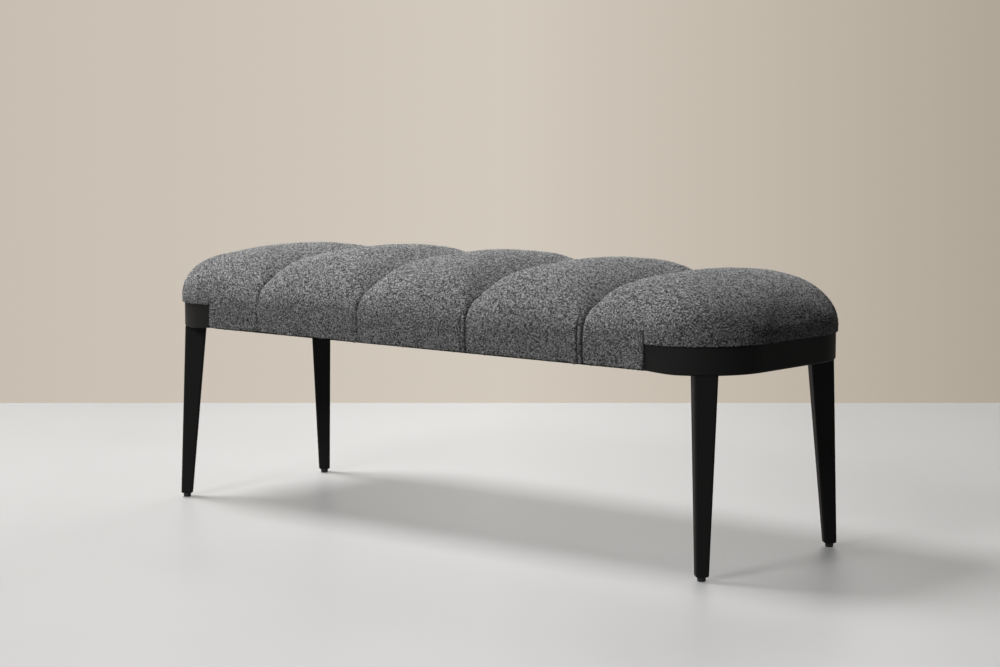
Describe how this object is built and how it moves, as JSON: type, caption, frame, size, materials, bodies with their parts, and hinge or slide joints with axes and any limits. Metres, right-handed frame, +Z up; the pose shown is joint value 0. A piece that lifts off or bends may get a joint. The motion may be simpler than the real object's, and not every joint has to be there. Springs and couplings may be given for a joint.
{
  "type": "upholstered bench",
  "caption": "Long upholstered bench with a channelled seat in charcoal loop cloth, black bent end rails and tapered, splayed black legs.",
  "frame": {"origin": "middle of the bench's footprint, on the floor", "axes": "+X along the bench, -Y towards the front, +Z up"},
  "size_m": [1.1992, 0.3992, 0.4495],
  "materials": {
    "black_lacquer": "satin black lacquer",
    "loop_cloth": "charcoal looped cloth",
    "dust_cloth": "thin black non-woven cloth",
    "listing_cloth": "plain calico",
    "foam": "open-cell foam",
    "frame_wood": "planed softwood",
    "dowel_wood": "beech",
    "plywood": "sanded plywood",
    "zinc_steel": "zinc plated",
    "black_plastic": "matt black"
  },
  "bodies": {
    "root": {"board_screws": "zinc_steel", "brace_dowels": "dowel_wood", "corner_block_front_left": "frame_wood", "corner_block_front_right": "frame_wood", "corner_block_rear_left": "frame_wood", "corner_block_rear_right": "frame_wood", "corner_block_screws": "zinc_steel", "cover_panel_end_left": "loop_cloth", "cover_panel_end_right": "loop_cloth", "cover_panel_left": "loop_cloth", "cover_panel_middle": "loop_cloth", "cover_panel_right": "loop_cloth", "cross_brace_left": "frame_wood", "cross_brace_middle": "frame_wood", "cross_brace_right": "frame_wood", "dust_cover": "dust_cloth", "end_rail_left": "black_lacquer", "end_rail_right": "black_lacquer", "foam_block_end_left": "foam", "foam_block_end_right": "foam", "foam_block_left": "foam", "foam_block_middle": "foam", "foam_block_right": "foam", "glide_front_left": "black_plastic", "glide_front_right": "black_plastic", "glide_nails": "zinc_steel", "glide_rear_left": "black_plastic", "glide_rear_right": "black_plastic", "leg_bolts": "zinc_steel", "leg_dowels": "dowel_wood", "leg_front_left": "black_lacquer", "leg_front_right": "black_lacquer", "leg_inserts": "zinc_steel", "leg_rear_left": "black_lacquer", "leg_rear_right": "black_lacquer", "listing_strips": "listing_cloth", "seat_board": "plywood", "seat_bolts": "zinc_steel", "seat_inserts": "zinc_steel", "side_rail_front": "frame_wood", "side_rail_rear": "frame_wood"}
  },
  "joints": []
}
